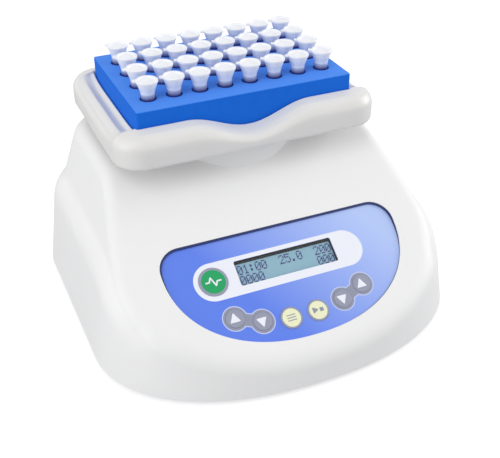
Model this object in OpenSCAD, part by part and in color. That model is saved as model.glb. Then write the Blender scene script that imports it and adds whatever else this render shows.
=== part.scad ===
// Microplate shaker: orbiting platform on a creased moulded housing, with a sloping keypad.
// Millimetres. Z is up, the front faces -Y, the origin is under the middle of the footprint.

/* [Housing] */
// Width of the footprint
body_w = 216; // [206:1:226]
// Depth of the footprint
body_d = 204.6; // [198:0.2:212]
// Depth of the rounded front of the footprint
front_bow = 70.3; // [64:0.1:76]
// Radius of the rear corners of the footprint
rear_r = 36; // [34:1:40]
// Height of the flat deck above the bench
deck_z = 92; // [88:1:96]
// Gap between the bench and the bottom rim of the cover
rim_z = 3; // [2:0.5:4]
// Wall thickness of the cover
wall = 3; // [2.4:0.1:3.6]
// Thickness of the cover behind the sloping face
roof = 4.4; // [4:0.1:5]
// Height of the shoulder on the sides, where the hood starts
shoulder_z = 60.5; // [57:0.5:63]
// Thickness of the bottom plate
plate_t = 2.5; // [2:0.1:3]
// Radius of the rubber feet
foot_r = 9; // [7:0.5:11]

/* [Panel] */
// Tilt of the sloping face
slope_deg = 33.4; // [32:0.1:35]
// Distance of the panel's centre line behind the front edge
panel_back = 57.3; // [55:0.1:60]
// Height of the label plane at the panel's centre line
panel_z = 54.5; // [53:0.1:56]
// Depth of the label below the sloping face
label_deep = 1.4; // [1:0.1:2]
// Thickness of the label
label_t = 0.5; // [0.4:0.1:0.8]
// Half the width of the label
label_hw = 71.3; // [69:0.1:73]
// Height of the label above its widest line
label_up = 15; // [14:0.5:17]
// Height of the label below its widest line
label_down = 49.4; // [48:0.1:51]
// Width of the display opening
lcd_w = 59; // [56:0.5:61]
// Height of the display opening
lcd_h = 14.6; // [13:0.2:16]
// Radius of the pulse key
pulse_r = 8.2; // [7.5:0.1:8.6]
// Radius of the mode and run keys
round_r = 6.2; // [5.5:0.1:6.6]
// Radius of the arrow keys
arrow_r = 5.1; // [4.5:0.1:5.5]
// Travel of every key
key_travel = 0.4; // [0.3:0.05:0.5]

/* [Platform] */
// Length of the plate footprint that the tray takes
plate_l = 127.76; // [127:0.02:128.5]
// Width of the plate footprint that the tray takes
plate_w = 85.48; // [85:0.02:86.5]
// Clearance round the plate in the tray
plate_gap = 0.6; // [0.4:0.1:1]
// Width of the tray's rim at its ends
rim_x = 17.8; // [16:0.2:19]
// Width of the tray's rim at its front and back
rim_y = 15.2; // [14:0.2:17]
// Height of the tray's corners
tray_h = 17.5; // [16:0.5:19]
// Thickness of the tray's floor
floor_t = 3; // [2.5:0.5:4]
// Depth of the finger dips in the front and back rims
dip = 9.2; // [8:0.1:10]
// How much lower the end rims are than the corners
side_drop = 4; // [3:0.5:5]
// Gap between the collar and the underside of the tray
tray_gap = 2.5; // [2:0.1:3]
// Height of the collar above the deck
collar_h = 6.5; // [6:0.5:8]
// Outer radius of the collar
collar_r = 46; // [45.5:0.5:49]
// Radius of the opening in the collar
collar_hole = 43.5; // [43:0.5:44]
// Thickness of the non-slip mat
mat_t = 1; // [0.8:0.1:1.4]

/* [Tubes] */
// Height of the tube rack
rack_h = 25; // [23:0.5:28]
// Tubes along the rack
tube_cols = 8; // [6:1:8]
// Spacing along the rack
pitch_x = 15; // [14:0.1:15.5]
// Spacing across the rack
pitch_y = 18.45; // [17:0.05:19]
// Radius of a tube's body
tube_r = 3.85; // [3.4:0.05:4.2]
// Radius of a tube's rim and cap
cap_r = 6.1; // [5.6:0.1:6.4]
// Height of a tube above the rack
tube_up = 11; // [9.5:0.5:13]
// Length of a tube inside the rack
tube_in = 16; // [14:0.5:18]

/* [Drive] */
// Diameter of the platform's orbit
orbit = 3; // [2:0.5:3]
// Distance of the drive axis behind the middle of the footprint
drive_y = 43.5; // [41:0.5:45]
// Radius of the motor shaft and of the crank pin
shaft_r = 4; // [3.5:0.1:4.5]
// Running clearance between a shaft and its bearing
run_gap = 0.04; // [0.02:0.01:0.08]
// Outer radius of the ball bearings
bearing_r = 11; // [10:0.5:12]
// Width of the ball bearings
bearing_w = 7; // [6:0.5:7.5]
// Distance of the idler cranks from the drive axis
idler_d = 32; // [31:0.5:33]
// Radius of an idler crank's journal
idler_r = 3; // [2.6:0.1:3.4]
// Radius of the motor's case
motor_r = 21; // [19:0.5:23]
// Radius of the counterweight
weight_r = 22; // [20:0.5:23]

/* [Hidden] */
$fn = 48;
seat_gap = 0.02;
fit_gap = 0.3;
ecc = orbit / 2;
plate_y = drive_y - ecc;
front_y = -body_d / 2;
rear_y = body_d / 2;
half_w = body_w / 2;
bow_y = front_y + front_bow;
plate_z0 = rim_z + 1;
plate_z1 = plate_z0 + plate_t;
face_z = panel_z + label_deep / cos(slope_deg);
panel_y = front_y + panel_back;
collar_z = deck_z + collar_h;
tray_z = collar_z + tray_gap;
seat_z = tray_z + floor_t;
rack_z = seat_z + rack_h;
tray_l = plate_l + 2 * (plate_gap + rim_x);
tray_w = plate_w + 2 * (plate_gap + rim_y);
tray_r = 14;
groove = 1.4;
rear_share = 0.3;
corner_share = 0.4;
draft = 0.151;
hood_lean = 0.362;
shoulder_step = 6.2;
shoulder_run = 16;
edge_r = 7;
tower_z = deck_z - 10;
chassis_t = 4;
chassis_z = tower_z - 16;
chassis_x = 52;
chassis_back = rear_y - 23.3 - drive_y;
pillar_x = chassis_x - 8;
pillar_y = chassis_back - 7.5;
pillar_r = 5;
chassis_front = pillar_y + 14;
disc_z0 = tower_z + 0.5;
disc_z1 = disc_z0 + 3.5;
boss_z = disc_z1 + 1.5;
hub_t = 3.5;
hub_z = tray_z - hub_t;
hub_r = collar_hole - ecc - 2.5;
hub_boss_r = bearing_r + 3.5;
tower_r = 8;
bush_wall = 2;
motor_z0 = 24;
motor_wall = 3.5;
rotor_gap = 1.5;
screw_r = 2;
screw_head_r = 3.5;
screw_head_h = 2.2;
post_r = 5;
idler_angles = [30, 150, 270];
key_flange = 1.2;
key_gap = 0.25;
key_proud = 0.45;
inner_n = -(roof - label_deep);
flange_t = 1;
flange_n = inner_n - 0.15;
board_n = inner_n - 7;
board_t = 1.6;
stem_gap = 0.1;
switch_top_n = flange_n - flange_t - key_travel - stem_gap;
board_hw = 53;
post_x = (half_w + board_hw) / 2 - 6.5;
posts = [[post_x, rear_y - 32.3], [post_x, front_y + 52.3]];
feet_at = [[post_x + 12, rear_y - 40.3], [post_x - 12, front_y + 32.3]];
board_v0 = -46;
board_v1 = 11;
board_posts = [[-48, 5.5], [48, 5.5], [-50, -24], [50, -24]];
lcd_v = -9;
window_edge = 2.3;
window_t = 0.55;
bezel_w = 1.3;
bezel_n = -1.5;
lcd_board_n = -4.6;
lcd_board_x = [-33, 36];
lcd_board_v = [-24, 4];
keys = [[-43.8, -10, pulse_r], [-9.4, -40.6, round_r], [6.6, -40.6, round_r],
        [-39.4, -32.8, arrow_r], [-25.4, -38.2, arrow_r], [22.8, -38.2, arrow_r], [36.8, -32.8, arrow_r]];
rear_pad_y = rear_y - 6.8;
pad_t = 3.5;
pad_x = [-68, -12];
pad_z = [14, 40];
jack = [-52, 27];
jack_r = 5.4;
rocker_at = [-28, 27];
rocker_r = 8;
rocker_w = 9.6;
rocker_tilt = 10;
rocker_y = rear_pad_y - 5;
jack_len = 14;
board2_x = [13 - half_w, -pillar_x - pillar_r - 8];
board2_y = [posts[1][1] + 38, posts[0][1] - 12];
board2_z = plate_z1 + 6;
foot2_in = 4;
can_r = 5;
can_h = 16;
can_in = can_r + foot2_in;
can_pitch = 2 * can_r + 3;
sink_w = 9;
sink_h = 14;
sink_l = board2_y[1] - board2_y[0] - 34;
block_in = 6;
block_w = board2_x[1] - board2_x[0] - sink_w - 7;
block_d = 8;
screw_l = 11;
chassis_screw_l = 14;

// Points along the half outline of the footprint, from the front middle round to the rear middle.
// Each is [kind, parameter]: 0 is the rounded front, 1 the straight side, 2 the rear corner, 3 the rear edge.
function stations(nf, ns, nc, nr) = concat(
    [for (i = [0:nf - 1]) [0, 90 * i / nf]],
    [for (i = [0:ns - 1]) [1, i / ns]],
    [for (i = [0:nc - 1]) [2, 90 * i / nc]],
    [for (i = [0:nr]) [3, i / nr]]);
function pow22(v) = pow(max(v, 0), 2 / 2.2);
// Point of the outline at station s: d is the lean, which the rear shares in part, and o a plain inset
function outline(s, d, o = 0) =
    let (a = half_w - d - o, q = s[1], r = rear_r - corner_share * d - o, cy = rear_y - rear_share * d - o - r)
    s[0] == 0 ? [a * pow22(sin(q)), bow_y - (front_bow - d - o) * pow22(cos(q))] :
    s[0] == 1 ? [a, bow_y + q * (cy - bow_y)] :
    s[0] == 2 ? [a - r + r * cos(q), cy + r * sin(q)] :
    [(a - r) * (1 - q), cy + r];
// Height of the shoulder beside a base point at y: it sinks towards the front corners
function shoulder(y) = shoulder_z - 27 * pow(min(1, max(0, -2 - y) / 66), 2.6);
function fade(y) = min(1, max(0, (y + 78) / 40));
// How far the side wall leans in at height z, beside a base point at y
function lean(z, y) =
    let (zs = shoulder(y), s = max(0, min(1, (z - zs + shoulder_run) / shoulder_run)))
    draft * (min(z, zs) - rim_z) + shoulder_step * fade(y) * pow(s, 3) + hood_lean * max(0, z - zs);
// Height of the lid, which is the sloping face in front and the deck behind, blended at the ridge
function lid(y) =
    let (z1 = face_z + (y - panel_y) * tan(slope_deg), z2 = deck_z, k = 2.2, m = min(z1, z2))
    m - k * ln(exp((m - z1) / k) + exp((m - z2) / k));
// Height at which the side wall meets the lid
function crease(s, y0, o, drop, lo, hi, n) =
    let (z = (lo + hi) / 2, p = outline(s, lean(z, y0), o))
    n == 0 ? z : z < lid(p[1]) - drop ? crease(s, y0, o, drop, z, hi, n - 1) : crease(s, y0, o, drop, lo, z, n - 1);
function mix(a, b, t) = a * (1 - t) + b * t;
function bend(a, b, c, t) = mix(mix(a, b, t), mix(b, c, t), t);
function inset_point(s, d, o, drop) = let (p = outline(s, d, o)) [p[0], p[1], lid(p[1]) - drop];
// One meridian of the hood, from the rim up the side, over the rounded edge and in over the lid
function meridian(s, o, drop, z0, levels, nedge, lids) =
    let (y0 = outline(s, 0)[1],
         zc = crease(s, y0, o, drop, z0, deck_z, 16),
         dc = lean(zc, y0),
         zt = max(z0 + 1, zc - edge_r),
         top = [for (p = [outline(s, dc, o)]) [p[0], p[1], zc]][0],
         low = [for (p = [outline(s, lean(zt, y0), o)]) [p[0], p[1], zt]][0],
         inn = inset_point(s, dc, o + edge_r, drop),
         mid = [0, drive_y])
    concat(
        [for (f = levels)
            let (z = z0 + (zt - z0) * f, p = outline(s, lean(z, y0), o)) [p[0], p[1], z]],
        [for (i = [0:nedge]) bend(low, top, inn, i / nedge)],
        [for (f = lids) let (x = inn[0] * f, y = mid[1] + (inn[1] - mid[1]) * f) [x, y, lid(y) - drop]]);
// The closed hood solid, moved in by o at the sides and down by drop at the lid
module hood(o, drop, z0, st, levels, nedge, lids) {
    right = [for (s = st) meridian(s, o, drop, z0, levels, nedge, lids)];
    n = len(right);
    all = concat(right, [for (i = [n - 2:-1:1]) [for (p = right[i]) [-p[0], p[1], p[2]]]]);
    m = len(all);
    k = len(all[0]);
    points = concat([for (ring = all) for (p = ring) p], [[0, drive_y, z0], [0, drive_y, lid(drive_y) - drop]]);
    faces = concat(
        [for (i = [0:m - 1]) for (j = [0:k - 2])
            let (a = i * k + j, b = ((i + 1) % m) * k + j) [a, a + 1, b + 1]],
        [for (i = [0:m - 1]) for (j = [0:k - 2])
            let (a = i * k + j, b = ((i + 1) % m) * k + j) [a, b + 1, b]],
        [for (i = [0:m - 1]) [m * k, i * k, ((i + 1) % m) * k]],
        [for (i = [0:m - 1]) [m * k + 1, ((i + 1) % m) * k + k - 1, i * k + k - 1]]);
    polyhedron(points, faces, convexity = 6);
}

// Places children on the label plane: x across, y up the slope, z out of the face
module on_panel() {
    translate([0, panel_y, panel_z]) rotate([slope_deg, 0, 0]) children();
}
module at_drive() {
    translate([0, drive_y, 0]) children();
}
module at_idlers(r = idler_d) {
    for (a = idler_angles) translate([r * cos(a), drive_y + r * sin(a), 0]) children();
}
module mirrored_at(list) {
    for (p = list) for (sx = [-1, 1]) translate([sx * p[0], p[1], 0]) children();
}
module pipe(r1, r0, h) {
    difference() {
        cylinder(r = r1, h = h);
        translate([0, 0, -1]) cylinder(r = r0, h = h + 2);
    }
}
function round_rect(w, h, r, n = 6) = [for (q = [0:3]) for (i = [0:n])
    let (a = 90 * q + 90 * i / n, sx = (q == 0 || q == 3) ? 1 : -1, sy = q < 2 ? 1 : -1)
    [sx * (w / 2 - r) + r * cos(a), sy * (h / 2 - r) + r * sin(a)]];
module slab(w, h, r, t) {
    linear_extrude(t) polygon(round_rect(w, h, r));
}
function base_outline(d) =
    let (st = stations(14, 1, 5, 1), h = [for (s = st) outline(s, 0, d)], n = len(h))
    concat(h, [for (i = [n - 2:-1:1]) [-h[i][0], h[i][1]]]);
// Outline of the label, moved in by d: a flat top with round corners over a full round bottom
function label_outline(d) =
    let (r = label_up - d, w = label_hw - d, b = label_down - d)
    concat([for (i = [0:6]) let (a = 15 * i) [w - r + r * cos(a), r * sin(a)]],
           [for (i = [0:6]) let (a = 90 + 15 * i) [r - w + r * cos(a), r * sin(a)]],
           [for (i = [1:23]) let (a = 180 * i / 24) [-w * sign(cos(a)) * pow22(abs(cos(a))), -b * pow22(sin(a))]]);

module feet() {
    color("dimgray") mirrored_at(feet_at) rotate_extrude()
        polygon([[0, 0], [foot_r - 1.5, 0], [foot_r - 0.3, 1], [foot_r, plate_z0], [0, plate_z0]]);
}

module base_plate() {
    color("gray") difference() {
        translate([0, 0, plate_z0]) linear_extrude(plate_t)
            polygon(base_outline(wall + fit_gap + draft * (plate_z1 - rim_z)));
        translate([0, 0, plate_z0 - 1]) mirrored_at(posts) cylinder(r = screw_r + 0.2, h = plate_t + 2);
        at_drive() translate([0, 0, plate_z0 - 1]) mirrored_at([[pillar_x, pillar_y], [pillar_x, -pillar_y]])
            cylinder(r = screw_r + 0.2, h = plate_t + 2);
    }
}

module pan_screw(len, down = true) {
    mirror([0, 0, down ? 0 : 1]) {
        cylinder(r = screw_r, h = len);
        translate([0, 0, -screw_head_h]) cylinder(r = screw_head_r, h = screw_head_h);
    }
}

module base_screws() {
    color("silver") translate([0, 0, plate_z0]) {
        mirrored_at(posts) pan_screw(screw_l);
        at_drive() mirrored_at([[pillar_x, pillar_y], [pillar_x, -pillar_y]]) pan_screw(screw_l);
    }
}

module collar() {
    at_drive() rotate_extrude($fn = 96)
        polygon(concat([[collar_hole, deck_z - 12], [collar_r, deck_z - 12]],
                       [for (i = [0:4]) let (a = 90 * i / 4) [collar_r - 1.6 + 1.6 * cos(a), collar_z - 1.6 + 1.6 * sin(a)]],
                       [[collar_hole, collar_z]]));
}

module cover_posts() {
    for (p = posts) for (sx = [-1, 1])
        translate([sx * p[0], p[1], plate_z1])
            cylinder(r = post_r, h = lid(p[1]) - roof - plate_z1 + 1.2);
    on_panel() for (p = board_posts)
        translate([p[0], p[1], board_n]) cylinder(r = 3.5, h = inner_n - board_n + 1);
    translate([pad_x[0] - 3, 0, 0]) rotate([90, 0, 90]) linear_extrude(pad_x[1] - pad_x[0] + 6)
        polygon([[rear_pad_y - pad_t, 9], [rear_y - 2, 9], [rear_y - 8, 46], [rear_pad_y - pad_t, 46]]);
}

module cover() {
    color("whitesmoke") difference() {
        union() {
            difference() {
                hood(0, 0, rim_z, stations(20, 9, 7, 4), [0, 0.27, 0.5, 0.59, 0.65, 0.7, 0.77, 0.88], 4, [0.82, 0.6, 0.4, 0.28]);
                hood(wall, roof / cos(slope_deg), rim_z - 1, stations(12, 5, 4, 2), [0, 0.5, 0.62, 0.7, 0.85], 2, [0.7, 0.35]);
            }
            collar();
            cover_posts();
        }
        at_drive() translate([0, 0, chassis_z]) cylinder(r = collar_hole, h = tray_z - chassis_z, $fn = 96);
        on_panel() {
            translate([0, 0, -label_t]) linear_extrude(10) polygon(label_outline(0));
            translate([0, lcd_v, -label_t - window_t - 0.05])
                slab(lcd_w + 2 * window_edge, lcd_h + 2 * window_edge, 1.5, 5);
            translate([0, lcd_v, inner_n - 2]) slab(lcd_w + 2, lcd_h + 2, 1, 10);
            for (k = keys) translate([k[0], k[1], inner_n - 2]) cylinder(r = k[2] + key_gap, h = 10);
            for (p = board_posts) translate([p[0], p[1], board_n - 1]) cylinder(r = 1.2, h = 6);
        }
        translate([0, 0, plate_z1 - 1]) mirrored_at(posts) cylinder(r = screw_r + seat_gap, h = 10);
        translate([pad_x[0], rear_pad_y, pad_z[0]])
            cube([pad_x[1] - pad_x[0], 20, pad_z[1] - pad_z[0]]);
        translate([jack[0], rear_pad_y + 1, jack[1]]) rotate([90, 0, 0]) cylinder(r = jack_r + 0.1, h = 20);
        translate([rocker_at[0] - 6.7, rear_pad_y - 12, rocker_at[1] - 9.7]) cube([13.4, 14, 19.4]);
    }
}

module panel_label() {
    color("cornflowerblue") on_panel() translate([0, 0, -label_t]) difference() {
        linear_extrude(label_t) polygon(label_outline(fit_gap));
        translate([0, lcd_v, -1]) slab(lcd_w, lcd_h, 1, 3);
        for (k = keys) translate([k[0], k[1], -1]) cylinder(r = k[2] + key_gap, h = 3);
    }
}

module lcd_window() {
    color("lightcyan", 0.4) on_panel() translate([0, lcd_v, -label_t - window_t])
        slab(lcd_w + 2 * window_edge - 0.4, lcd_h + 2 * window_edge - 0.4, 1.3, window_t);
}

module lcd_bezel() {
    h = bezel_n - lcd_board_n;
    color("black") on_panel() translate([0, lcd_v, lcd_board_n]) difference() {
        slab(lcd_w + 1.4, lcd_h + 1.4, 0.8, h);
        translate([0, 0, -1]) slab(lcd_w - 2 * bezel_w, lcd_h - 2 * bezel_w, 0.3, h + 2);
    }
}

module lcd_glass() {
    color("cadetblue") on_panel() translate([0, lcd_v, lcd_board_n])
        slab(lcd_w - 2 * bezel_w - 0.1, lcd_h - 2 * bezel_w - 0.1, 0.3, bezel_n - lcd_board_n - 0.5);
}

module lcd_board() {
    color("darkgreen") on_panel() translate([lcd_board_x[0], lcd_board_v[0], lcd_board_n - board_t])
        cube([lcd_board_x[1] - lcd_board_x[0], lcd_board_v[1] - lcd_board_v[0], board_t]);
}

module lcd_spacers() {
    h = lcd_board_n - board_t - board_n;
    color("goldenrod") on_panel() translate([0, 0, board_n]) {
        for (x = [lcd_board_x[0] + 3, lcd_board_x[1] - 3]) for (v = [lcd_board_v[0] + 3, lcd_board_v[1] - 3])
            translate([x, v, 0]) cylinder(r = 2, h = h);
        translate([-18, lcd_board_v[1] - 3, 0]) cube([36, 2.5, h]);
    }
}

module control_board() {
    color("darkgreen") on_panel() translate([-board_hw, board_v0, board_n - board_t]) difference() {
        cube([2 * board_hw, board_v1 - board_v0, board_t]);
        for (p = board_posts) translate([p[0] + board_hw, p[1] - board_v0, -1]) cylinder(r = 1.4, h = 4);
    }
}

module key_switches() {
    h = switch_top_n - board_n;
    color("dimgray") on_panel() for (k = keys) translate([k[0], k[1], board_n]) {
        translate([-3, -3, 0]) cube([6, 6, h - 0.5]);
        cylinder(r = 1.7, h = h);
    }
}

module board_screws() {
    color("silver") on_panel() for (p = board_posts) translate([p[0], p[1], board_n - board_t]) {
        cylinder(r = 1.18, h = 5);
        translate([0, 0, -1.6]) cylinder(r = 2.4, h = 1.6);
    }
}

module drive_board() {
    x = board2_x[1] - board2_x[0];
    y = board2_y[1] - board2_y[0];
    color("darkgreen") translate([board2_x[0], board2_y[0], board2_z]) cube([x, y, board_t]);
}

module drive_board_parts() {
    color("slategray") {
        for (x = [board2_x[0] + foot2_in, board2_x[1] - foot2_in])
            for (y = [board2_y[0] + foot2_in, board2_y[1] - foot2_in])
                translate([x, y, plate_z1]) cylinder(r = foot2_in - 1, h = board2_z - plate_z1);
        for (i = [0, 1])
            translate([board2_x[0] + can_in, board2_y[0] + can_h + i * can_pitch, board2_z + board_t])
                cylinder(r = can_r, h = can_h);
        translate([board2_x[1] - sink_w - 3, board2_y[0] + 2 * can_r, board2_z + board_t]) heat_sink();
        translate([board2_x[0] + block_in, board2_y[1] - block_d - 2 * can_r, board2_z + board_t])
            cube([block_w, block_d, sink_w]);
    }
}

module heat_sink() {
    cube([sink_w, sink_l, 2]);
    for (i = [0:3]) translate([i * (sink_w - 1.5) / 3, 0, 1]) cube([1.5, sink_l, sink_h]);
}

module dc_inlet() {
    color("black") translate([jack[0], rear_pad_y + 1.5, jack[1]]) rotate([90, 0, 0]) {
        difference() {
            union() {
                cylinder(r = jack_r + 2.1, h = 1.5);
                cylinder(r = jack_r, h = jack_len);
            }
            translate([0, 0, -1]) cylinder(r = 2.8, h = 10.5);
        }
        translate([0, 0, 1]) cylinder(r = 1, h = 9);
    }
}

module inlet_nut() {
    color("silver") translate([jack[0], rear_pad_y - pad_t, jack[1]]) rotate([90, 0, 0])
        pipe(jack_r + 2.1, jack_r + seat_gap, 2.5);
}

module switch_body() {
    color("black") translate([rocker_at[0], rear_pad_y, rocker_at[1]]) difference() {
        union() {
            translate([-6.5, -15, -9.5]) cube([13, 15.5, 19]);
            translate([-7.7, 0, -10.7]) cube([15.4, 1.8, 21.4]);
        }
        translate([-rocker_w / 2 - 0.2, -14, -rocker_r - 0.2])
            cube([rocker_w + 0.4, 20, 2 * rocker_r + 0.4]);
    }
}

module power_rocker() {
    color("dimgray") translate([rocker_at[0] + rocker_w / 2, rocker_y, rocker_at[1]]) rotate([-rocker_tilt, 0, 0])
        rotate([0, -90, 0]) linear_extrude(rocker_w) intersection() {
            circle(r = rocker_r);
            polygon([[-9, -4], [9, -4], [9, 7.4], [0, 5.4], [-9, 7.4]]);
        }
}

module drive_chassis() {
    color("lightsteelblue") difference() {
        union() {
            translate([-chassis_x, drive_y - chassis_front, chassis_z - chassis_t])
                cube([2 * chassis_x, chassis_front + chassis_back, chassis_t]);
            at_drive() translate([0, 0, chassis_z - 1]) cylinder(r = bearing_r + 4, h = tower_z - chassis_z + 1);
            at_idlers() translate([0, 0, chassis_z - 1]) cylinder(r = tower_r, h = tower_z - chassis_z + 1);
        }
        at_drive() {
            translate([0, 0, tower_z - 2 * bearing_w - 1]) cylinder(r = bearing_r + seat_gap, h = 30);
            translate([0, 0, chassis_z - 10]) cylinder(r = bearing_r - 2, h = 40);
            mirrored_at([[pillar_x, pillar_y], [pillar_x, -pillar_y]]) translate([0, 0, chassis_z - 10])
                cylinder(r = screw_r + 0.2, h = 20);
        }
        at_idlers() translate([0, 0, chassis_z - 10]) cylinder(r = idler_r + bush_wall + seat_gap, h = 40);
    }
}

module chassis_pillars() {
    color("silver") at_drive() mirrored_at([[pillar_x, pillar_y], [pillar_x, -pillar_y]])
        translate([0, 0, plate_z1]) pipe(pillar_r, screw_r + seat_gap, chassis_z - chassis_t - plate_z1);
}

module chassis_screws() {
    color("silver") at_drive() mirrored_at([[pillar_x, pillar_y], [pillar_x, -pillar_y]])
        translate([0, 0, chassis_z]) pan_screw(chassis_screw_l, false);
}

module motor_case() {
    z1 = chassis_z - chassis_t;
    color("darkgray") at_drive() difference() {
        translate([0, 0, motor_z0]) cylinder(r = motor_r, h = z1 - motor_z0);
        translate([0, 0, motor_z0 + motor_wall]) cylinder(r = motor_r - motor_wall, h = z1 - motor_z0 - 2 * motor_wall);
        translate([0, 0, motor_z0 - 1]) cylinder(r = shaft_r, h = z1 - motor_z0 + 2);
    }
}

module speed_sensor() {
    color("black") translate([weight_r / 2, drive_y - 4, motor_z0 - 9]) difference() {
        cube([8, 8, 9]);
        translate([-1, -1, 2.3]) cube([5.5, 10, 2.6]);
    }
}

module main_bearings() {
    color("silver") at_drive() for (i = [1, 2])
        translate([0, 0, tower_z - i * bearing_w - (i - 1) * 0.6]) pipe(bearing_r, shaft_r, bearing_w);
}

module idler_bushes() {
    color("peru") at_idlers() {
        translate([0, 0, chassis_z - chassis_t])
            pipe(idler_r + bush_wall, idler_r, tower_z - chassis_z + chassis_t);
        translate([0, 0, tower_z]) pipe(idler_r + bush_wall + 1.5, idler_r, 0.4);
    }
}

module crank_shaft() {
    color("silver") at_drive() {
        translate([0, 0, motor_z0 - 8]) cylinder(r = shaft_r - run_gap, h = disc_z0 - motor_z0 + 8.5);
        translate([0, 0, disc_z0]) cylinder(r = 10, h = disc_z1 - disc_z0);
        translate([0, -ecc, disc_z1 - 0.5]) cylinder(r = shaft_r - run_gap, h = hub_z - disc_z1);
    }
}

module motor_rotor() {
    z = motor_z0 + motor_wall + 2;
    color("saddlebrown") at_drive() translate([0, 0, z])
        pipe(motor_r - motor_wall - rotor_gap, shaft_r - run_gap + seat_gap,
             chassis_z - chassis_t - motor_wall - 2 - z);
}

module speed_disc() {
    color("dimgray") at_drive() translate([0, 0, motor_z0 - 6]) difference() {
        cylinder(r = weight_r / 2 + 3, h = 1.2);
        translate([0, 0, -1]) cylinder(r = shaft_r - run_gap + seat_gap, h = 4);
        for (a = [0:30:330]) rotate(a) translate([weight_r / 2, -1, -1]) cube([2, 2, 4]);
    }
}

module counterweight() {
    color("gold") at_drive() translate([0, 0, disc_z0]) difference() {
        cylinder(r = weight_r, h = disc_z1 - disc_z0);
        translate([0, 0, -1]) cylinder(r = 10 + seat_gap, h = 10);
        translate([-weight_r, -2 * weight_r, -1]) cube([2 * weight_r, 2 * weight_r, 10]);
    }
}

module idler_crank(a) {
    color("silver") translate([idler_d * cos(a), drive_y + idler_d * sin(a), 0]) {
        translate([0, 0, chassis_z - chassis_t]) cylinder(r = idler_r - run_gap, h = disc_z0 - chassis_z + chassis_t + 0.5);
        translate([0, 0, disc_z0]) cylinder(r = tower_r - 1, h = disc_z1 - disc_z0);
        translate([0, -ecc, disc_z1 - 0.5]) cylinder(r = idler_r - 0.5 - run_gap, h = hub_z - disc_z1);
    }
}

module idler_crank_1() { idler_crank(idler_angles[0]); }
module idler_crank_2() { idler_crank(idler_angles[1]); }
module idler_crank_3() { idler_crank(idler_angles[2]); }

module platform_hub() {
    color("lightgray") translate([0, -ecc, 0]) difference() {
        union() {
            at_drive() translate([0, 0, hub_z]) cylinder(r = hub_r, h = hub_t, $fn = 96);
            at_drive() translate([0, 0, boss_z]) cylinder(r = hub_boss_r, h = hub_z - boss_z + 1);
            at_idlers() translate([0, 0, boss_z]) cylinder(r = tower_r - 1, h = hub_z - boss_z + 1);
        }
        at_drive() translate([0, 0, boss_z - 1]) cylinder(r = bearing_r + seat_gap, h = bearing_w + 2);
        at_idlers() translate([0, 0, boss_z - 1]) cylinder(r = idler_r + bush_wall - 0.5 + seat_gap, h = hub_z - boss_z + 1);
        at_drive() for (a = [0:60:300]) rotate(a) translate([hub_r - 5, 0, hub_z - 1]) cylinder(r = 1.7, h = 10);
        at_drive() translate([0, 0, boss_z]) cylinder(r = shaft_r + 1, h = hub_z - boss_z + 1);
    }
}

module hub_bearing() {
    color("silver") translate([0, -ecc, 0]) at_drive() translate([0, 0, boss_z + 1]) pipe(bearing_r, shaft_r, bearing_w);
}

module hub_bushes() {
    color("peru") translate([0, -ecc, 0]) at_idlers() translate([0, 0, boss_z])
        pipe(idler_r + bush_wall - 0.5, idler_r - 0.5, hub_z - boss_z);
}

module hub_screws() {
    color("silver") translate([0, -ecc, 0]) at_drive() for (a = [0:60:300]) rotate(a) translate([hub_r - 5, 0, hub_z]) {
        translate([0, 0, -1.4]) cylinder(r = 2.8, h = 1.4);
        cylinder(r = 1.5, h = hub_t + floor_t - 0.8);
    }
}

// How far plan position [x, y] belongs to an end rim of the tray: 1 in its middle, 0 at the corners and long sides
function end_share(x, y) = abs(x) > tray_l / 2 - tray_r ? 1 - pow(min(1, abs(y) / (tray_w / 2 - tray_r + 2)), 6) : 0;
function wave(t) = t >= 1 || t <= -1 ? 0 : (1 + cos(180 * t)) / 2;
// Height of the tray's rim at plan position [x, y] from its middle
function rim_height(x, y) =
    tray_h - (abs(x) > tray_l / 2 - tray_r ? side_drop * end_share(x, y) : dip * wave(x / 36));
// Point of a rounded rectangle path of the tray, inset by d, at corner arc or edge station
function tray_path(nx, ny, nc) = concat(
    [for (i = [0:ny - 1]) [0, -1 + 2 * i / ny, 0]], [for (i = [0:nc - 1]) [1, 0, 90 * i / nc]],
    [for (i = [0:nx - 1]) [2, 1 - 2 * i / nx, 0]], [for (i = [0:nc - 1]) [1, 1, 90 + 90 * i / nc]],
    [for (i = [0:ny - 1]) [3, 1 - 2 * i / ny, 0]], [for (i = [0:nc - 1]) [1, 2, 180 + 90 * i / nc]],
    [for (i = [0:nx - 1]) [4, -1 + 2 * i / nx, 0]], [for (i = [0:nc - 1]) [1, 3, 270 + 90 * i / nc]]);
function tray_point(s, dx, dy, r) =
    let (hx = tray_l / 2 - dx, hy = tray_w / 2 - dy, q = s[1], a = s[2],
         sx = (q == 0 || q == 3) ? 1 : -1, sy = q < 2 ? 1 : -1)
    s[0] == 0 ? [hx, q * (hy - r)] : s[0] == 2 ? [q * (hx - r), hy] :
    s[0] == 3 ? [-hx, q * (hy - r)] : s[0] == 4 ? [q * (hx - r), -hy] :
    [sx * (hx - r) + r * cos(a), sy * (hy - r) + r * sin(a)];
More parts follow.
